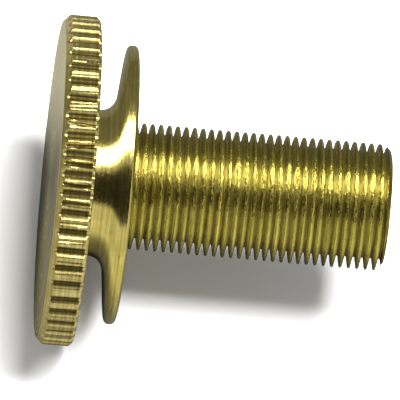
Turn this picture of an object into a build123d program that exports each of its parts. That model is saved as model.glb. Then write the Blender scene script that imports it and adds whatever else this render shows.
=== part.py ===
from build123d import *

import os
from math import pi

os.makedirs("parts", exist_ok=True)

# Knurled brass thumb screw. Millimetres. The screw's axis is the X axis.
# The origin is the centre of the flange's rear face, the face that seats
# against whatever the screw is driven into. The head is towards -X and the
# threaded shank runs towards +X.

# Thread: 3/8 inch by 40 threads to the inch, right-handed.
THREAD_D = 9.525
THREAD_PITCH = 25.4 / 40
THREAD_DEPTH = 0.88
THREAD_CREST = 0.14
THREAD_ROOT = 0.10
SHANK_LENGTH = 19.7
TIP_CHAMFER = 0.55

# Head: a disc with a straight-knurled rim.
HEAD_D = 24.8
HEAD_THICKNESS = 2.70
HEAD_FRONT_CHAMFER = 0.50
HEAD_REAR_CHAMFER = 0.24
KNURL_TEETH = 52
KNURL_DEPTH = 0.32
KNURL_FLAT_SHARE = 0.60
KNURL_FLOOR_SHARE = 0.30

# Collar: a narrow waist that flares through a cove into a thin flange.
WAIST_D = 11.0
GAP_WIDTH = 2.29
WAIST_FILLET = 0.25
COVE_LENGTH = 1.26
COVE_HEIGHT = 1.70
COVE_START_PULL = 0.9
COVE_END_PULL = 0.6
FLANGE_D = 21.0
FLANGE_RIM = 0.74
FLANGE_FLARE = 0.34
RIM_BEVEL = 0.16

# Spigot: the plain end of the stud, pressed through the collar into the head.
# The thread's shoulder sits in a shallow counterbore in the flange, so that
# the flange's rear face is a clear ring around the thread.
SPIGOT_D = 6.35
SPIGOT_IN_HEAD = 1.50
SPIGOT_CHAMFER = 0.25
COUNTERBORE_D = 9.60
COUNTERBORE_DEPTH = 0.30

# How far a cutter or a blank reaches past the surface that it shapes, and how
# far the thread's ridge is sunk into the core so that the two join.
REACH = 0.5
RIDGE_SUNK = 0.15
RIDGE_GAP_SHARE = 0.02

# Places along the axis that follow from the sizes above.
COLLAR_FRONT_X = -(FLANGE_RIM + GAP_WIDTH)
HEAD_FRONT_X = COLLAR_FRONT_X - HEAD_THICKNESS
SPIGOT_END_X = COLLAR_FRONT_X - SPIGOT_IN_HEAD


def turned(outline):
    """The solid that an outline drawn as (x, radius) makes about the X axis."""
    return revolve(make_face(outline), axis=Axis.X)


def turned_polygon(points):
    """A turned solid whose outline has only straight edges."""
    return turned(Polyline(*points, close=True))


def knurl_groove(angle):
    """The cutter for one groove of the straight knurl, at an angle in degrees."""
    rim_r = HEAD_D / 2
    half_pitch = pi / KNURL_TEETH
    half_mouth = rim_r * half_pitch * (1 - KNURL_FLAT_SHARE)
    half_floor = half_mouth * KNURL_FLOOR_SHARE
    slope = (half_mouth - half_floor) / KNURL_DEPTH
    half_top = half_mouth + slope * REACH
    section = Polyline(
        (-half_floor, rim_r - KNURL_DEPTH),
        (half_floor, rim_r - KNURL_DEPTH),
        (half_top, rim_r + REACH),
        (-half_top, rim_r + REACH),
        close=True,
    )
    across = Plane(origin=(HEAD_FRONT_X - REACH, 0, 0), x_dir=(0, 1, 0), z_dir=(1, 0, 0))
    cutter = extrude(across * make_face(section), HEAD_THICKNESS + 2 * REACH)
    return cutter.rotate(Axis.X, angle)


def knurled_head():
    """The disc with its chamfers, knurl and blind hole for the spigot."""
    rim_r = HEAD_D / 2
    spigot_r = SPIGOT_D / 2
    disc = turned_polygon(
        [
            (HEAD_FRONT_X, 0),
            (HEAD_FRONT_X, rim_r - HEAD_FRONT_CHAMFER),
            (HEAD_FRONT_X + HEAD_FRONT_CHAMFER, rim_r),
            (COLLAR_FRONT_X - HEAD_REAR_CHAMFER, rim_r),
            (COLLAR_FRONT_X, rim_r - HEAD_REAR_CHAMFER),
            (COLLAR_FRONT_X, spigot_r),
            (SPIGOT_END_X, spigot_r),
            (SPIGOT_END_X, 0),
        ]
    )
    grooves = [knurl_groove(tooth * 360 / KNURL_TEETH) for tooth in range(KNURL_TEETH)]
    return disc - grooves


def flared_collar():
    """The waist, the cove that flares out of it and the thin flange, bored through."""
    waist_r = WAIST_D / 2
    flange_r = FLANGE_D / 2
    spigot_r = SPIGOT_D / 2
    counterbore_r = COUNTERBORE_D / 2
    rim_front_x = -FLANGE_RIM
    fillet_start = (COLLAR_FRONT_X, waist_r + WAIST_FILLET)
    fillet_end = (COLLAR_FRONT_X + WAIST_FILLET, waist_r)
    cove_start = (rim_front_x - FLANGE_FLARE - COVE_LENGTH, waist_r)
    cove_end = (rim_front_x - FLANGE_FLARE, waist_r + COVE_HEIGHT)
    flare_end = (rim_front_x, flange_r - RIM_BEVEL)
    cove = Spline(
        cove_start,
        cove_end,
        tangents=[(1, 0), (FLANGE_FLARE, flange_r - cove_end[1])],
        tangent_scalars=(COVE_START_PULL, COVE_END_PULL),
    )
    rim_and_bore = Polyline(
        cove_end,
        flare_end,
        (rim_front_x + RIM_BEVEL, flange_r),
        (-RIM_BEVEL, flange_r),
        (0, flange_r - RIM_BEVEL),
        (0, counterbore_r),
        (-COUNTERBORE_DEPTH, counterbore_r),
        (-COUNTERBORE_DEPTH, spigot_r),
        (COLLAR_FRONT_X, spigot_r),
        fillet_start,
    )
    waist_fillet = RadiusArc(fillet_start, fillet_end, WAIST_FILLET)
    waist = Line(fillet_end, cove_start)
    return turned(Curve() + [waist_fillet, waist, cove, rim_and_bore])


def thread_ridge():
    """One continuous helical ridge, one pitch longer than the shank at both ends."""
    root_r = THREAD_D / 2 - THREAD_DEPTH
    start_x = -COUNTERBORE_DEPTH - THREAD_PITCH
    end_x = SHANK_LENGTH + THREAD_PITCH
    half_crest = THREAD_CREST / 2
    half_base = (THREAD_PITCH - THREAD_ROOT) / 2
    slope = (half_base - half_crest) / THREAD_DEPTH
    half_sunk = min(half_base + slope * RIDGE_SUNK, THREAD_PITCH / 2 * (1 - RIDGE_GAP_SHARE))
    helix = Helix(
        pitch=THREAD_PITCH,
        height=end_x - start_x,
        radius=root_r,
        center=(start_x, 0, 0),
        direction=(1, 0, 0),
    )
    start = helix @ 0
    radial = Vector(0, start.Y, start.Z).normalized()
    plane = Plane(origin=(start.X, 0, 0), x_dir=(1, 0, 0), z_dir=Vector(1, 0, 0).cross(radial))
    section = Polyline(
        (-half_sunk, root_r - RIDGE_SUNK),
        (-half_base, root_r),
        (-half_crest, root_r + THREAD_DEPTH),
        (half_crest, root_r + THREAD_DEPTH),
        (half_base, root_r),
        (half_sunk, root_r - RIDGE_SUNK),
        close=True,
    )
    return sweep(plane * make_face(section), path=helix, is_frenet=True)


def threaded_stud():
    """The threaded shank with its tip chamfer and the spigot behind the shoulder."""
    thread_r = THREAD_D / 2
    root_r = thread_r - THREAD_DEPTH
    spigot_r = SPIGOT_D / 2
    core = Cylinder(root_r, SHANK_LENGTH + 4 * REACH, rotation=(0, 90, 0))
    core = core.moved(Location((SHANK_LENGTH / 2, 0, 0)))
    blank = turned_polygon(
        [
            (-COUNTERBORE_DEPTH, 0),
            (-COUNTERBORE_DEPTH, thread_r + REACH),
            (SHANK_LENGTH - TIP_CHAMFER - REACH, thread_r + REACH),
            (SHANK_LENGTH, thread_r - TIP_CHAMFER),
            (SHANK_LENGTH, 0),
        ]
    )
    shank = (core + thread_ridge()) & blank
    spigot = turned_polygon(
        [
            (SPIGOT_END_X, 0),
            (SPIGOT_END_X, spigot_r - SPIGOT_CHAMFER),
            (SPIGOT_END_X + SPIGOT_CHAMFER, spigot_r),
            (-COUNTERBORE_DEPTH, spigot_r),
            (-COUNTERBORE_DEPTH, 0),
        ]
    )
    return shank + spigot


PIECES = {
    "knurled_head": knurled_head,
    "flared_collar": flared_collar,
    "threaded_stud": threaded_stud,
}

for name, build in PIECES.items():
    piece = build()
    export_step(piece, f"parts/{name}.step")
    box = piece.bounding_box()
    print(name, "solids", len(piece.solids()), "valid", piece.is_valid)
    print("  volume", round(piece.volume, 2))
    print("  from", tuple(round(v, 3) for v in box.min))
    print("  to", tuple(round(v, 3) for v in box.max))
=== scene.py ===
import math
import random

import bmesh
import bpy
from mathutils import Matrix, Vector


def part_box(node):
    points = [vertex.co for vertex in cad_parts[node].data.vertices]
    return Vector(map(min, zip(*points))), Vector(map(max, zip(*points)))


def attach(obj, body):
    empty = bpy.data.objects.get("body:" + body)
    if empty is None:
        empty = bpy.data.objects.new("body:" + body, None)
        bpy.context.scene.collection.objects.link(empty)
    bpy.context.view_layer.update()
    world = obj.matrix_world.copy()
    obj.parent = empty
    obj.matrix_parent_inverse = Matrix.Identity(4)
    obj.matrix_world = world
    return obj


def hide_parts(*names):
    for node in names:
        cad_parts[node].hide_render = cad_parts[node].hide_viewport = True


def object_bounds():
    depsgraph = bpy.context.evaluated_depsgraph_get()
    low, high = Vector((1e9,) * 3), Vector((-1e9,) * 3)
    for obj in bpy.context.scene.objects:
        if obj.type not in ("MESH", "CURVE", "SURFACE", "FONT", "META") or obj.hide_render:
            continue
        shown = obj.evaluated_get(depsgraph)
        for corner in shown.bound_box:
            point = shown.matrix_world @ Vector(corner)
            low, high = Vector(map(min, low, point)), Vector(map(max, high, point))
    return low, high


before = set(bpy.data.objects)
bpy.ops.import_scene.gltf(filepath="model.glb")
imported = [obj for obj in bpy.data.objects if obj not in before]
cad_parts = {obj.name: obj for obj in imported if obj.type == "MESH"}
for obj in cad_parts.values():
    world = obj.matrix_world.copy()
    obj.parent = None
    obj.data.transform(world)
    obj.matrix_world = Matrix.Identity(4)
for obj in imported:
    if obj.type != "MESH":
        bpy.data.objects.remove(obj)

CAD_LOW, CAD_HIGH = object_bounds()
MM = 0.001

# ---------------------------------------------------------------- sizes from the frame

HEAD_LOW, HEAD_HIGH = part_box("knurled_head")
COLLAR_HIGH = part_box("flared_collar")[1]
STUD_LOW, STUD_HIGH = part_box("threaded_stud")

HEAD_FRONT = HEAD_LOW.x
HEAD_BACK = HEAD_HIGH.x
FLANGE_R = COLLAR_HIGH.z
THREAD_R = STUD_HIGH.z
TIP = STUD_HIGH.x
SPIGOT_END = STUD_LOW.x

# Sizes that no box gives.
HEAD_R = 12.4 * MM
HEAD_FRONT_CHAMFER = 0.50 * MM
HEAD_REAR_CHAMFER = 0.24 * MM
KNURL_TEETH = 52
KNURL_DEPTH = 0.32 * MM
GROOVE_STEEPNESS = 1.2

# The knurling wheel's main line of grooves and the second line between them. offset, wander,
# half_width and skew are shares of a tooth, depth is a share of the knurl's depth, and fade
# is how much shallower a groove gets towards one end.
MAIN_TRACK = {
    "offset": 0.0, "wander": 0.05, "half_width": (0.31, 0.36), "depth": (0.90, 1.05),
    "skew": 0.03, "fade": 0.1,
}
SECOND_TRACK = {
    "offset": 0.5, "wander": 0.09, "half_width": (0.13, 0.19), "depth": (0.5, 0.9),
    "skew": 0.10, "fade": 0.6,
}
SECOND_TRACK_AT = math.radians(114)
SECOND_TRACK_LEAST = 0.12
SECOND_TRACK_NARROWING = 8

WAIST_R = 5.5 * MM
WAIST_FILLET = 0.25 * MM
COVE_LENGTH = 1.26 * MM
COVE_HEIGHT = 1.70 * MM
COVE_PULL = (0.17 * MM, 0.05 * MM)
FLANGE_RIM = 0.74 * MM
FLANGE_FLARE = 0.34 * MM
RIM_BEVEL = 0.17 * MM
COUNTERBORE_R = 4.80 * MM
COUNTERBORE_DEPTH = 0.30 * MM
SPIGOT_R = 3.175 * MM
PITCH = 0.635 * MM
THREAD_DEPTH = 0.88 * MM
TIP_CHAMFER = 0.55 * MM

# The thread's form. Widths are shares of a pitch and heights shares of the thread's depth.
CREST_SHARE = 0.22
ROOT_SHARE = 0.14
FLANK_ROUNDING = 0.035
FOOT_HEIGHT = 0.07
SHOULDER_HEIGHT = 0.93
CREST_EDGE_HEIGHT = 0.985
CREST_FLAT_SHARE = 0.4

# The cutter's waver along the thread: its height, and how many waves each turn holds.
WAVER_HEIGHT = 0.006 * MM
WAVER_WAVES = (0.9, 2.3)

KNURL_SEED = 11
WAVER_SEED = 5

# How finely the meshes are cut: lengths along a profile and steps round the axis.
HEAD_EDGE_R = 0.06 * MM
HEAD_STEP = 0.8 * MM
RIM_STEP = 0.12 * MM
RIM_MARGIN = 0.01 * MM
STEPS_PER_TOOTH = 20
COLLAR_EDGE_R = 0.05 * MM
COLLAR_STEP = 0.25 * MM
COLLAR_STEPS = 320
COVE_STEPS = 24
THREAD_STEPS = 200
SAME_POINT = 0.001 * MM
FACE_TOLERANCE = 0.02 * MM
TINY = 0.0001 * MM

# An edge of a profile is at least this many times as long as the rounding at its ends.
EDGE_OVER_ROUNDING = 2.2
# Shares of a chamfer or bevel that stop just short of its edge or just past it.
JUST_INSIDE = 0.9
JUST_PAST = 1.1

SMOOTH_ANGLE = math.radians(38)

# Looks. Colours are linear red, green and blue.

BRASS = (0.66, 0.555, 0.165)
KNURL_BRASS = (0.66, 0.555, 0.21)
FACE_BRASS = (0.53, 0.458, 0.180)
THREAD_BRASS = (0.37, 0.305, 0.055)
TIP_BRASS = (0.50, 0.42, 0.13)
# The next two are the colours that the recesses are painted towards: painted shade in the grooves.
RECESS_SHADE_COLOUR = (0.30, 0.25, 0.07)
DARK_RECESS_SHADE_COLOUR = (0.11, 0.085, 0.022)
TARNISH = (0.86, 0.83, 0.72)
FACE_TARNISH = (0.95, 0.935, 0.90)
# The next two paint the thread's crests brighter: painted highlight, partly rubbing wear.
CREST_HIGHLIGHT_GAIN = 1.55
CREST_HIGHLIGHT_BAND = (0.005, 0.06)
FACE_GRAIN = 0.75

# Patterns per millimetre. FLUTTER_DRAW is how many times longer the chatter is round the
# axis than along it. MARKS_HARSHNESS is how strong the finest turning marks are.
CLOUDS_PER_MM = 0.55
WEAR_PER_MM = 7.0
FLUTTER_PER_MM = 1.1
FLUTTER_DRAW = 4.0
MARKS_HARSHNESS = 0.7

# The parts of a noise's range that its patches and streaks use.
CLOUD_BAND = (0.35, 0.65)
SHINE_BAND = (0.3, 0.7)
SHINE_SPREAD = (0.7, 1.35)
STREAK_GAIN = 0.4
RECESS_BAND = (0.2, 1.0)
RECESS_ROUGHER = 0.16


# ---------------------------------------------------------------- mesh helpers

def curve_point(start, bend, end, t):
    """The point at a share t along a curve from start to end that is pulled towards bend."""
    point = start * (1 - t) ** 2 + bend * 2 * t * (1 - t) + end * t ** 2
    return point.x, point.y


def rounded(points, radius, steps=4):
    """A profile with every inner corner replaced by a short curve of about that radius."""
    out = [points[0]]
    for before, corner, after in zip(points, points[1:], points[2:]):
        here = Vector(corner)
        to_before = Vector(before) - here
        to_after = Vector(after) - here
        cut = min(radius, to_before.length / EDGE_OVER_ROUNDING,
                  to_after.length / EDGE_OVER_ROUNDING)
        start = here + to_before.normalized() * cut
        end = here + to_after.normalized() * cut
        for step in range(steps + 1):
            out.append(curve_point(start, here, end, step / steps))
    out.append(points[-1])
    return out


def refined(points, longest, fine=None, fine_from=math.inf):
    """The same profile with long stretches cut so that none is longer than given.

    Stretches that lie wholly beyond the radius fine_from are cut to the length fine.
    """
    out = [points[0]]
    for a, b in zip(points, points[1:]):
        most = fine if min(a[1], b[1]) >= fine_from else longest
        cuts = max(1, math.ceil(math.dist(a, b) / most))
        for cut in range(1, cuts + 1):
            t = cut / cuts
            out.append((a[0] + (b[0] - a[0]) * t, a[1] + (b[1] - a[1]) * t))
    return out


def lathe(bm, profile, count, shape=None):
    """Turns a profile of (x, radius) about the X axis; shape(x, radius, angle) may carve it."""
    rings = []
    for x, radius in profile:
        if radius < TINY:
            rings.append([bm.verts.new((x, 0, 0))])
            continue
        ring = []
        for step in range(count):
            angle = 2 * math.pi * step / count
            px, pr = shape(x, radius, angle) if shape else (x, radius)
            ring.append(bm.verts.new((px, pr * math.cos(angle), pr * math.sin(angle))))
        rings.append(ring)
    for a, b in zip(rings, rings[1:]):
        for step in range(count):
            nxt = (step + 1) % count
            if len(a) == 1:
                bm.faces.new((a[0], b[nxt], b[step]))
            elif len(b) == 1:
                bm.faces.new((a[step], a[nxt], b[0]))
            else:
                bm.faces.new((a[step], a[nxt], b[nxt], b[step]))
    return rings


def finish_mesh(bm, name, looks, node, recess=None, barrel=None):
    """Makes the object, rides it on the screw's body and lets it stand for its CAD node.

    recess(place) says how deep a point lies in a groove and barrel(place) how far its
    shading follows a plain cylinder, both from 0 to 1, for the material to read.
    """
    for layer_name, value_at in (("recess", recess), ("round", barrel)):
        layer = bm.verts.layers.float.new(layer_name)
        for vert in bm.verts:
            vert[layer] = value_at(vert.co) if value_at else 0.0
    bmesh.ops.recalc_face_normals(bm, faces=bm.faces)
    mesh = bpy.data.meshes.new(name)
    bm.to_mesh(mesh)
    bm.free()
    mesh.polygons.foreach_set("use_smooth", [True] * len(mesh.polygons))
    mesh.set_sharp_from_angle(angle=SMOOTH_ANGLE)
    for look in looks:
        mesh.materials.append(look)
    piece = bpy.data.objects.new(name, mesh)
    bpy.context.collection.objects.link(piece)
    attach(piece, "root")
    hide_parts(node)
    return piece


def give_faces(bm, x, index):
    """Gives one of a piece's looks to the flat faces that stand square to the axis at x."""
    for polygon in bm.faces:
        if all(abs(vert.co.x - x) < FACE_TOLERANCE for vert in polygon.verts):
            polygon.material_index = index


# ---------------------------------------------------------------- materials

def ramp_between(nodes, links, source, low, high, value_low, value_high):
    """A socket that goes from one value to another as its source goes from low to high."""
    ramp = nodes.new("ShaderNodeMapRange")
    ramp.interpolation_type = "SMOOTHSTEP"
    ramp.inputs["From Min"].default_value = low
    ramp.inputs["From Max"].default_value = high
    ramp.inputs["To Min"].default_value = value_low
    ramp.inputs["To Max"].default_value = value_high
    links.new(source, ramp.inputs["Value"])
    return ramp.outputs["Result"]


def mixed(nodes, links, factor, a, b, blend="MIX"):
    """A colour socket that mixes two colours or sockets by a factor or socket."""
    mix = nodes.new("ShaderNodeMix")
    mix.data_type = "RGBA"
    mix.blend_type = blend
    for name, value in (("Factor", factor), ("A", a), ("B", b)):
        if isinstance(value, bpy.types.NodeSocket):
            links.new(value, mix.inputs[name])
        elif name == "Factor":
            mix.inputs[name].default_value = value
        else:
            mix.inputs[name].default_value = (*value, 1)
    return mix.outputs["Result"]


def new_material(name):
    """A material, its nodes, its links and its shader."""
    material = bpy.data.materials.new(name)
    material.use_nodes = True
    tree = material.node_tree
    return material, tree.nodes, tree.links, tree.nodes["Principled BSDF"]


def noise(nodes, links, vector, scale, detail, harshness=0.5):
    """A noise socket that follows a vector socket."""
    texture = nodes.new("ShaderNodeTexNoise")
    texture.inputs["Scale"].default_value = scale
    texture.inputs["Detail"].default_value = detail
    texture.inputs["Roughness"].default_value = harshness
    links.new(vector, texture.inputs["Vector"])
    return texture.outputs["Fac"]


def vector_math(nodes, links, operation, first, second=None):
    """The result of a vector operation on a socket and, if it takes two, a constant vector."""
    node = nodes.new("ShaderNodeVectorMath")
    node.operation = operation
    links.new(first, node.inputs[0])
    if second is not None:
        node.inputs[1].default_value = second
    gives_number = operation in ("LENGTH", "DOT_PRODUCT")
    return node.outputs["Value" if gives_number else "Vector"]


def combined(nodes, links, **sockets):
    """A vector socket whose named axes come from sockets and whose others are 0."""
    node = nodes.new("ShaderNodeCombineXYZ")
    for axis, socket in sockets.items():
        links.new(socket, node.inputs[axis])
    return node.outputs[0]


def attribute(nodes, name):
    """The value of one of the mesh's layers."""
    node = nodes.new("ShaderNodeAttribute")
    node.attribute_name = name
    return node.outputs["Fac"]


def bumped(nodes, links, height, distance, normal):
    """A normal socket with a pattern of some height, in millimetres, pressed into it."""
    bump = nodes.new("ShaderNodeBump")
    bump.inputs["Distance"].default_value = distance * MM
    links.new(height, bump.inputs["Height"])
    links.new(normal, bump.inputs["Normal"])
    return bump.outputs["Normal"]


def towards_cylinder(nodes, links, outward, barrel):
    """The surface's normal, leaning towards a plain cylinder's where the round layer is 1."""
    surface = nodes.new("ShaderNodeNewGeometry")
    share = ramp_between(nodes, links, attribute(nodes, "round"), 0, 1, 0, barrel)
    lean = nodes.new("ShaderNodeMix")
    lean.data_type = "VECTOR"
    links.new(share, lean.inputs["Factor"])
    links.new(surface.outputs["Normal"], lean.inputs["A"])
    links.new(vector_math(nodes, links, "NORMALIZE", outward), lean.inputs["B"])
    return vector_math(nodes, links, "NORMALIZE", lean.outputs["Result"])


def brass(name, turned, rough, ring_step, ring_depth, ring_tone, tint=BRASS, wear=0.0030,
          flutter=0.0, barrel=0.0, crest=0.0, film=0.35, recess_shade_colour=RECESS_SHADE_COLOUR, dark=0.62,
          shade_from=0.25, shade_to=0.98):
    """Brass with cloudy tarnish, turning marks, fine wear, a dull film and painted shade in its
    recesses, and painted highlight on its crests.

    turned is "face" for rings about the axis, "barrel" for lines round a cylinder.
    ring_step, ring_depth, wear and flutter are in millimetres. ring_tone is how far the
    turning marks also change the colour. flutter is the height of the chatter that the
    cutter left, short along the axis and long round it. film is how far the recesses lose
    their metal shine. dark is how far they are painted darker, as painted shade, from the
    depth shade_from to the depth shade_to. crest is how far the highest places are painted
    brighter: painted highlight, partly rubbing wear. barrel is how far the shading follows
    a plain cylinder where the mesh's "round" layer is 1.
    """
    material, nodes, links, shader = new_material(name)
    place = nodes.new("ShaderNodeTexCoord").outputs["Object"]
    in_mm = vector_math(nodes, links, "MULTIPLY", place, (1 / MM, 1 / MM, 1 / MM))
    parts = nodes.new("ShaderNodeSeparateXYZ")
    links.new(in_mm, parts.inputs[0])
    outward = combined(nodes, links, Y=parts.outputs["Y"], Z=parts.outputs["Z"])
    depth = attribute(nodes, "recess")

    # The patterns: clouds of tarnish, fine wear and the turning marks.
    cloud = noise(nodes, links, in_mm, CLOUDS_PER_MM, detail=5)
    fine = noise(nodes, links, in_mm, WEAR_PER_MM, detail=6)
    along = parts.outputs["X"]
    if turned == "face":
        along = vector_math(nodes, links, "LENGTH", outward)
        grain = nodes.new("ShaderNodeTangent")
        grain.direction_type = "RADIAL"
        grain.axis = "X"
        links.new(grain.outputs["Tangent"], shader.inputs["Tangent"])
        shader.inputs["Anisotropic"].default_value = FACE_GRAIN
    marks_at = combined(nodes, links, X=along)
    marks = noise(nodes, links, marks_at, 1 / ring_step, detail=5, harshness=MARKS_HARSHNESS)

    # The colour: tarnish, crests painted brighter as painted highlight and partly rubbing wear,
    # recesses painted darker as painted shade, and the marks over all of them.
    tarnish = FACE_TARNISH if turned == "face" else TARNISH
    tarnished = tuple(channel * share for channel, share in zip(tint, tarnish))
    crest_wear_and_highlight = tuple(min(1.0, channel * CREST_HIGHLIGHT_GAIN) for channel in tint)
    clean = ramp_between(nodes, links, cloud, *CLOUD_BAND, 0, 1)
    tone = mixed(nodes, links, clean, tarnished, tint)
    # Painted highlight: the crests are painted brighter, partly standing for rubbing wear.
    crest_wear_and_highlight_share = ramp_between(nodes, links, depth, *CREST_HIGHLIGHT_BAND, crest, 0)
    tone_with_crest_wear_and_highlight = mixed(nodes, links, crest_wear_and_highlight_share, tone, crest_wear_and_highlight)
    # Painted shade: the recesses are painted darker as they get deeper.
    painted_shade_share = ramp_between(nodes, links, depth, shade_from, shade_to, 0, dark)
    shaded_tone = mixed(nodes, links, painted_shade_share, tone_with_crest_wear_and_highlight, recess_shade_colour)
    brightest = 1 + ring_tone * STREAK_GAIN
    streak = ramp_between(nodes, links, marks, *CLOUD_BAND, 1 - ring_tone, brightest)
    streaks = combined(nodes, links, X=streak, Y=streak, Z=streak)
    toned = mixed(nodes, links, 1.0, shaded_tone, streaks, "MULTIPLY")
    links.new(toned, shader.inputs["Base Color"])

    # The shine: less metal and rougher in the recesses.
    metal = ramp_between(nodes, links, depth, *RECESS_BAND, 1.0, 1 - film)
    links.new(metal, shader.inputs["Metallic"])
    patchy = marks if turned == "face" else fine
    smoothest, roughest = (rough * share for share in SHINE_SPREAD)
    shine = ramp_between(nodes, links, patchy, *SHINE_BAND, smoothest, roughest)
    dull = ramp_between(nodes, links, depth, *RECESS_BAND, 0.0, RECESS_ROUGHER)
    total = nodes.new("ShaderNodeMath")
    total.operation = "ADD"
    links.new(shine, total.inputs[0])
    links.new(dull, total.inputs[1])
    links.new(total.outputs[0], shader.inputs["Roughness"])

    # The relief: marks, chatter and wear, one on top of the other.
    drawn_out = vector_math(nodes, links, "MULTIPLY", in_mm, (FLUTTER_DRAW, 1, 1))
    chatter = noise(nodes, links, drawn_out, FLUTTER_PER_MM, detail=2)
    normal = towards_cylinder(nodes, links, outward, barrel)
    for height, distance in ((marks, ring_depth), (chatter, flutter), (fine, wear)):
        normal = bumped(nodes, links, height, distance, normal)
    links.new(normal, shader.inputs["Normal"])
    return material


# ---------------------------------------------------------------- the knurled head

def second_track(angle):
    """How deep the second line is at an angle round the rim, as a share of its full depth."""
    facing = abs(math.cos(angle - SECOND_TRACK_AT)) ** SECOND_TRACK_NARROWING
    return SECOND_TRACK_LEAST + (1 - SECOND_TRACK_LEAST) * facing


def knurl_grooves(draw):
    """(angle, half-width, depth, skew, fade) of every groove, slightly uneven.

    The knurling wheel has tracked twice, so a second, shallower and less steady line runs
    along the top of each ridge. skew turns a groove a little from the front of the rim to
    the back, and fade makes it shallower towards one end.
    """
    step = 2 * math.pi / KNURL_TEETH
    grooves = []
    for tooth in range(KNURL_TEETH):
        for track, strength in ((MAIN_TRACK, 1), (SECOND_TRACK, second_track(tooth * step))):
            wander, skew, fade = track["wander"], track["skew"], track["fade"]
            grooves.append((
                (tooth + track["offset"] + draw.uniform(-wander, wander)) * step,
                step * draw.uniform(*track["half_width"]),
                KNURL_DEPTH * draw.uniform(*track["depth"]) * strength,
                step * draw.uniform(-skew, skew),
                draw.uniform(-fade, fade),
            ))
    return grooves


def knurled_head():
    """The disc with its chamfers, its knurled rim and the blind hole for the spigot."""
    draw = random.Random(KNURL_SEED)
    grooves = knurl_grooves(draw)
    step = 2 * math.pi / KNURL_TEETH
    land_front = HEAD_FRONT + HEAD_FRONT_CHAMFER * JUST_INSIDE
    land_back = HEAD_BACK - HEAD_REAR_CHAMFER * JUST_INSIDE
    below_floors_r = HEAD_R - 1.5 * KNURL_DEPTH

    def rim_at(x, angle):
        """The knurl's outer radius at a place along the rim and an angle."""
        along = (x - HEAD_FRONT) / (HEAD_BACK - HEAD_FRONT) - 0.5
        nearest = round(angle / step * 2)
        cut = 0.0
        for near in (nearest - 1, nearest, nearest + 1):
            centre, half, depth, skew, fade = grooves[near % len(grooves)]
            off = abs((angle - centre - skew * along + math.pi) % (2 * math.pi) - math.pi)
            into = min(1.0, GROOVE_STEEPNESS * max(0.0, 1 - off / half))
            cut = max(cut, depth * (1 + fade * along) * into * into * (3 - 2 * into))
        return HEAD_R - cut

    def carve(x, radius, angle):
        """Keeps a point of the turned disc from standing out of the knurl."""
        return x, min(radius, rim_at(x, angle))

    def rim_recess(place):
        """How far a point lies down in a knurl groove, 0 at the ridges and 1 at the floors."""
        radius = math.hypot(place.y, place.z)
        if not land_front < place.x < land_back or radius < below_floors_r:
            return 0.0
        return min(1.0, (HEAD_R - radius) / KNURL_DEPTH)

    outline = [
        (HEAD_FRONT, 0),
        (HEAD_FRONT, HEAD_R - HEAD_FRONT_CHAMFER),
        (HEAD_FRONT + HEAD_FRONT_CHAMFER, HEAD_R),
        (HEAD_BACK - HEAD_REAR_CHAMFER, HEAD_R),
        (HEAD_BACK, HEAD_R - HEAD_REAR_CHAMFER),
        (HEAD_BACK, SPIGOT_R),
        (SPIGOT_END, SPIGOT_R),
        (SPIGOT_END, 0),
    ]
    rim_from = HEAD_R - HEAD_FRONT_CHAMFER - HEAD_EDGE_R - RIM_MARGIN
    profile = refined(rounded(outline, HEAD_EDGE_R), HEAD_STEP, RIM_STEP, rim_from)
    bm = bmesh.new()
    lathe(bm, profile, KNURL_TEETH * STEPS_PER_TOOTH, carve)
    looks = [
        # The knurl's grooves are painted dark towards their floors: painted shade.
        brass("head_brass", "barrel", tint=KNURL_BRASS, rough=0.35, ring_step=0.22,
              ring_depth=0.006, ring_tone=0.4, flutter=0.035, film=0.06, recess_shade_colour=DARK_RECESS_SHADE_COLOUR,
              shade_to=0.78, dark=1.0),
        brass("head_face_brass", "face", tint=FACE_BRASS, rough=0.22, ring_step=0.40,
              ring_depth=0.012, ring_tone=0.22, wear=0.0003),
        brass("head_rear_brass", "face", tint=KNURL_BRASS, rough=0.24, ring_step=0.5,
              ring_depth=0.008, ring_tone=0.25, wear=0.0004),
    ]
    give_faces(bm, HEAD_FRONT, 1)
    give_faces(bm, HEAD_BACK, 2)
    return finish_mesh(bm, "knurled_head_disc", looks, "knurled_head", rim_recess)


# ---------------------------------------------------------------- the flared collar

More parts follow.
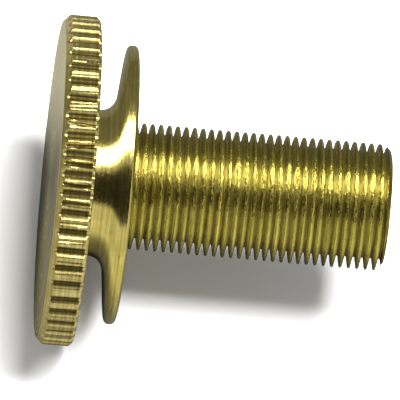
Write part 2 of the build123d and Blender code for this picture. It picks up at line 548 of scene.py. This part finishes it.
def flared_collar():
    """The waist, the cove that flares out of it and the thin flange, bored through."""
    rim_front = -FLANGE_RIM
    cove_out = Vector((rim_front - FLANGE_FLARE, WAIST_R + COVE_HEIGHT))
    cove_in = Vector((cove_out.x - COVE_LENGTH, WAIST_R))
    bend = Vector((cove_out.x - COVE_PULL[0], WAIST_R + COVE_PULL[1]))
    cove = [curve_point(cove_in, bend, cove_out, step / COVE_STEPS) for step in range(COVE_STEPS + 1)]
    outline = [
        (HEAD_BACK, SPIGOT_R),
        (HEAD_BACK, WAIST_R + WAIST_FILLET),
        (HEAD_BACK + WAIST_FILLET, WAIST_R),
        *cove,
        (rim_front, FLANGE_R - RIM_BEVEL),
        (rim_front + RIM_BEVEL, FLANGE_R),
        (-RIM_BEVEL, FLANGE_R),
        (0, FLANGE_R - RIM_BEVEL),
        (0, COUNTERBORE_R),
        (-COUNTERBORE_DEPTH, COUNTERBORE_R),
        (-COUNTERBORE_DEPTH, SPIGOT_R),
        (HEAD_BACK, SPIGOT_R),
    ]
    profile = refined(rounded(outline, COLLAR_EDGE_R), COLLAR_STEP)
    bm = bmesh.new()
    lathe(bm, profile, COLLAR_STEPS)
    bmesh.ops.remove_doubles(bm, verts=bm.verts, dist=SAME_POINT)

    def on_flare(place):
        """1 on the waist, its flare and the front of the flange, 0 on the rim and behind it."""
        return 0.0 if place.x > rim_front + RIM_BEVEL * JUST_PAST else 1.0

    looks = [
        brass("collar_brass", "barrel", rough=0.17, ring_step=0.35, ring_depth=0.004,
              wear=0.0012, barrel=0.95, ring_tone=0.32, flutter=0.012),
        brass("collar_face_brass", "face", rough=0.16, ring_step=0.5, ring_depth=0.006,
              wear=0.0004, ring_tone=0.2),
    ]
    give_faces(bm, 0, 1)
    return finish_mesh(
        bm, "flared_flange_collar", looks, "flared_collar", barrel=on_flare
    )


# ---------------------------------------------------------------- the threaded stud

def thread_stations():
    """(share of a pitch, share of full height) at each sample over one pitch.

    The flank is straight between its softened foot and its softened shoulder.
    """
    crest, root = CREST_SHARE / 2, ROOT_SHARE / 2
    foot = (root + FLANK_ROUNDING, FOOT_HEIGHT)
    shoulder = (0.5 - crest - FLANK_ROUNDING, SHOULDER_HEIGHT)
    middle = 0.25
    climbed = (middle - foot[0]) / (shoulder[0] - foot[0])
    half = [
        (0.0, 0.0),
        (root, 0.0),
        foot,
        (middle, foot[1] + (shoulder[1] - foot[1]) * climbed),
        shoulder,
        (0.5 - crest, CREST_EDGE_HEIGHT),
        (0.5 - crest * CREST_FLAT_SHARE, 1.0),
    ]
    mirrored = [(1 - share, height) for share, height in reversed(half[1:])]
    return half + mirrored


def wavering(phases, run):
    """The height that the cutter's waver adds to the thread after so many radians of it."""
    waves = (math.sin(run * wave + phase) for wave, phase in zip(WAVER_WAVES, phases))
    return WAVER_HEIGHT * sum(waves)


def helix_mesh():
    """One helical surface, a pitch or more longer than the shank at both ends.

    Each column of points follows the axis and lies a little further along it than the
    column before, so the last column joins the first one a whole pitch further on.
    Past the tip the chamfer goes on inwards, down to least_r.
    """
    stations = thread_stations()
    last_turn = math.ceil((TIP + 2 * PITCH) / PITCH)
    root_r = THREAD_R - THREAD_DEPTH
    least_r = root_r / 2
    draw = random.Random(WAVER_SEED)
    phases = [draw.uniform(0, 2 * math.pi) for _ in WAVER_WAVES]
    bm = bmesh.new()
    columns = []
    for step in range(THREAD_STEPS):
        angle = 2 * math.pi * step / THREAD_STEPS
        column = []
        for turn in range(-2, last_turn + 1):
            run = turn * 2 * math.pi + angle
            for share, height in stations:
                x = (turn + share + step / THREAD_STEPS) * PITCH
                radius = root_r + height * (THREAD_DEPTH + wavering(phases, run))
                chamfer_r = max(THREAD_R - TIP_CHAMFER + TIP - x, least_r)
                radius = min(radius, chamfer_r, THREAD_R)
                column.append(
                    bm.verts.new((x, radius * math.cos(angle), radius * math.sin(angle)))
                )
        columns.append(column)
    for step, a in enumerate(columns):
        wraps = step == THREAD_STEPS - 1
        b = columns[0] if wraps else columns[step + 1]
        ahead = len(stations) if wraps else 0
        for row in range(len(a) - 1 - ahead):
            bm.faces.new((a[row], b[row + ahead], b[row + 1 + ahead], a[row + 1]))
    return bm


def cut_square(bm, x, outward):
    """Cuts a mesh off square to the axis at x, drops what is outside and closes the end."""
    bmesh.ops.bisect_plane(
        bm, geom=bm.verts[:] + bm.edges[:] + bm.faces[:], dist=TINY / 10,
        plane_co=(x, 0, 0), plane_no=(outward, 0, 0), clear_outer=True,
    )
    rim = []
    for edge in bm.edges:
        if edge.is_boundary and all(abs(vert.co.x - x) < TINY for vert in edge.verts):
            rim.append(edge)
    bmesh.ops.edgeloop_fill(bm, edges=rim)


def threaded_stud():
    """The threaded shank with its tip chamfer, cut off square in the counterbore."""
    bm = helix_mesh()
    cut_square(bm, -COUNTERBORE_DEPTH, -1)
    cut_square(bm, TIP, 1)

    def thread_recess(place):
        """How far a point lies down in the thread, 0 at the crests and 1 at the roots."""
        depth = (THREAD_R - math.hypot(place.y, place.z)) / THREAD_DEPTH
        return min(1.0, max(0.0, depth))

    def on_thread(place):
        """1 along the thread, 0 on the outer half of the tip's chamfer and on the tip."""
        return 1.0 if place.x < TIP - TIP_CHAMFER * 0.5 else 0.0

    looks = [
        # The thread's crests are painted brighter, as painted highlight and partly rubbing wear, and
        # its roots painted darker, as painted shade.
        brass("stud_brass", "barrel", tint=THREAD_BRASS, rough=0.26, ring_step=0.26,
              ring_depth=0.012, film=0.10, barrel=0.88, crest=1.0, dark=0.30,
              recess_shade_colour=DARK_RECESS_SHADE_COLOUR, shade_from=0.55, ring_tone=0.55, flutter=0.10),
        brass("stud_tip_brass", "face", tint=TIP_BRASS, rough=0.22, ring_step=0.5,
              ring_depth=0.01, ring_tone=0.3, dark=0.0, film=0.0, wear=0.0004),
    ]
    give_faces(bm, TIP, 1)
    return finish_mesh(
        bm, "threaded_shank", looks, "threaded_stud", thread_recess, on_thread
    )


knurled_head()
flared_collar()
threaded_stud()


# ---------------------------------------------------------------- floor, light and camera

# The camera looks down at the screw, stands a little towards its head and is rolled so
# that the axis slopes. AIM_ALONG and AIM_BELOW place the middle of the frame.
LOOK_DOWN = math.radians(60)
TOWARD_HEAD = math.radians(3.6)
AXIS_SLOPE = math.radians(5.0)
CAMERA_DISTANCE = 1.2
FRAME_WIDTH = 30.0 * MM
AIM_ALONG = 5.6 * MM
AIM_BELOW = 0.62 * MM
SENSOR_WIDTH_MM = 36
NEAREST_SEEN = 0.01

# The key light makes the brass's highlights and the sky light the floor's shadows. Where
# each stands, in degrees above and to the right of the camera, its width, height and power.
LIGHT_DISTANCE = 0.6
KEY_AT = (42, 5)
KEY_SIZE = (0.30, 0.29)
KEY_POWER = 2.5
SKY_AT = (30, 16.5)
SKY_SIZE = (0.28, 0.28)
SKY_POWER = 10.5

# The room's brightness. ROOM_TURN says between which cosines, measured from the camera's
# side, it goes from dim to bright, and DARK_EDGE between which the dark patch begins that
# the camera stands before and that the brass reflects.
ROOM_SEEN = 0.95
ROOM_BEHIND = 0.22
ROOM_FRONT = 0.95
ROOM_TURN = (-0.25, 0.45)
CAMERA_DARK = 0.03
DARK_BELOW_CAMERA = 8
DARK_EDGE = (math.cos(math.radians(29)), math.cos(math.radians(23)))

# The floor has one even tone for the camera and others, by zone, for what the brass reflects: painted
# reflections of the floor, with painted shadow under the screw and left of the head and painted shade
# behind it.
# A zone's pair says where its tone starts and where it is full, along Y or along X.
FLOOR_HALF = 1.5
FLOOR_SEEN = (0.97, 0.97, 0.97)
FLOOR_FRONT = (0.36, 0.36, 0.355)
FLOOR_FAR = (0.95, 0.95, 0.94)
FLOOR_PAINTED_SHADOW_LEFT = (0.24, 0.24, 0.21)
FLOOR_PAINTED_SHADOW_UNDER = (0.065, 0.065, 0.06)
FLOOR_PAINTED_SHADE_BEHIND = (0.10, 0.10, 0.095)
FAR_Y = (-0.06, -0.50)
UNDER_SHANK_Y = (-32 * MM, -4 * MM)
UNDER_HEAD_Y = (-45 * MM, -12 * MM)
BEHIND_Y = (4 * MM, 25 * MM)
SHANK_X = (-0.3 * MM, 0.7 * MM)
LEFT_X = (HEAD_FRONT + 0.5 * MM, HEAD_FRONT - 1 * MM)

# The camera's axes: BACK points from the screw to the camera, SIDE runs along the screw
# as seen from there, and RIGHT and UP are the picture's own, rolled by the slope.
FLAT_BACK = Vector((0, -math.cos(LOOK_DOWN), math.sin(LOOK_DOWN)))
BACK = FLAT_BACK * math.cos(TOWARD_HEAD) + Vector((-1, 0, 0)) * math.sin(TOWARD_HEAD)
BACK.normalize()
SIDE = (Vector((1, 0, 0)) - BACK * BACK.x).normalized()
ABOVE = BACK.cross(SIDE)
RIGHT = SIDE * math.cos(AXIS_SLOPE) + ABOVE * math.sin(AXIS_SLOPE)
UP = BACK.cross(RIGHT)


def seen_from(angle_up, angle_right=0.0):
    """The direction this many degrees above and to the right of the camera's own."""
    up, right = math.radians(angle_up), math.radians(angle_right)
    ahead = BACK * math.cos(up) + ABOVE * math.sin(up)
    return ahead * math.cos(right) + SIDE * math.sin(right)


def camera():
    """The camera at the photograph's viewing angle, far off with a long lens."""
    data = bpy.data.cameras.new("camera")
    data.sensor_width = SENSOR_WIDTH_MM
    data.lens = SENSOR_WIDTH_MM * CAMERA_DISTANCE / FRAME_WIDTH
    data.clip_start = NEAREST_SEEN
    eye = bpy.data.objects.new("camera", data)
    bpy.context.collection.objects.link(eye)
    aim = Vector((AIM_ALONG, 0, 0)) - UP * AIM_BELOW
    place = aim + BACK * CAMERA_DISTANCE
    eye.matrix_world = Matrix.Translation(place) @ Matrix((RIGHT, UP, BACK)).transposed().to_4x4()
    bpy.context.scene.camera = eye


def softbox(name, direction, width, height, power):
    """A rectangular lamp that stands off in a direction and faces the screw."""
    data = bpy.data.lights.new(name, "AREA")
    data.shape = "RECTANGLE"
    data.size = width
    data.size_y = height
    data.energy = power
    lamp = bpy.data.objects.new(name, data)
    bpy.context.collection.objects.link(lamp)
    lamp.location = direction.normalized() * LIGHT_DISTANCE
    lamp.rotation_euler = direction.to_track_quat("Z", "Y").to_euler()
    return lamp


def floor():
    """The pale floor that the screw lies on."""
    bm = bmesh.new()
    bmesh.ops.create_grid(bm, x_segments=8, y_segments=8, size=FLOOR_HALF)
    mesh = bpy.data.meshes.new("floor")
    bm.to_mesh(mesh)
    bm.free()
    ground = bpy.data.objects.new("floor", mesh)
    bpy.context.collection.objects.link(ground)
    ground.location.z = CAD_LOW.z
    material, nodes, links, shader = new_material("floor_white")
    shader.inputs["Roughness"].default_value = 0.9
    shader.inputs["Specular IOR Level"].default_value = 0.1
    path = nodes.new("ShaderNodeLightPath")
    place = nodes.new("ShaderNodeTexCoord")
    parts = nodes.new("ShaderNodeSeparateXYZ")
    links.new(place.outputs["Object"], parts.inputs[0])

    def zone(axis, start_and_full):
        """How far a point of the floor lies in a zone, from 0 to 1."""
        start, full = start_and_full
        if start < full:
            return ramp_between(nodes, links, parts.outputs[axis], start, full, 0, 1)
        return ramp_between(nodes, links, parts.outputs[axis], full, start, 1, 0)

    # Painted reflection: the brass sees darker floor tones, with painted shadow under the screw and
    # left of the head and painted shade behind it, while the camera sees the floor evenly pale.
    front = mixed(nodes, links, zone("Y", FAR_Y), FLOOR_FRONT, FLOOR_FAR)
    near_head = mixed(nodes, links, zone("Y", UNDER_HEAD_Y), front, FLOOR_PAINTED_SHADOW_UNDER)
    near_shank = mixed(nodes, links, zone("Y", UNDER_SHANK_Y), front, FLOOR_PAINTED_SHADOW_UNDER)
    near = mixed(nodes, links, zone("X", SHANK_X), near_head, near_shank)
    further = mixed(nodes, links, zone("Y", BEHIND_Y), near, FLOOR_PAINTED_SHADE_BEHIND)
    painted_reflection = mixed(nodes, links, zone("X", LEFT_X), further, FLOOR_PAINTED_SHADOW_LEFT)
    paper = mixed(nodes, links, path.outputs["Is Camera Ray"], painted_reflection, FLOOR_SEEN)
    links.new(paper, shader.inputs["Base Color"])
    mesh.materials.append(material)


def room():
    """The world: bright on the camera's side, dim behind the screw, dark round the camera."""
    world = bpy.data.worlds.new("room")
    bpy.context.scene.world = world
    world.use_nodes = True
    nodes, links = world.node_tree.nodes, world.node_tree.links
    background = nodes["Background"]
    place = nodes.new("ShaderNodeTexCoord")

    def towards(direction, low, high, value_low, value_high):
        """Goes from one value to another as the view turns towards a direction (cosines)."""
        cosine = vector_math(nodes, links, "DOT_PRODUCT", place.outputs["Generated"], direction)
        return ramp_between(nodes, links, cosine, low, high, value_low, value_high)

    sides = towards((0, -1, 0), *ROOM_TURN, ROOM_BEHIND, ROOM_FRONT)
    dark = towards(seen_from(-DARK_BELOW_CAMERA), *DARK_EDGE, 1.0, CAMERA_DARK)
    both = nodes.new("ShaderNodeMath")
    both.operation = "MULTIPLY"
    links.new(sides, both.inputs[0])
    links.new(dark, both.inputs[1])
    path = nodes.new("ShaderNodeLightPath")
    seen = nodes.new("ShaderNodeMix")
    seen.data_type = "FLOAT"
    links.new(path.outputs["Is Camera Ray"], seen.inputs["Factor"])
    links.new(both.outputs[0], seen.inputs["A"])
    seen.inputs["B"].default_value = ROOM_SEEN
    links.new(seen.outputs["Result"], background.inputs["Strength"])
    background.inputs["Color"].default_value = (1, 1, 1, 1)


floor()
room()
key = softbox("key", seen_from(*KEY_AT), *KEY_SIZE, KEY_POWER)
key.visible_diffuse = False
sky = softbox("sky", seen_from(*SKY_AT), *SKY_SIZE, SKY_POWER)
sky.visible_glossy = False
camera()
bpy.context.scene.view_settings.view_transform = "Standard"
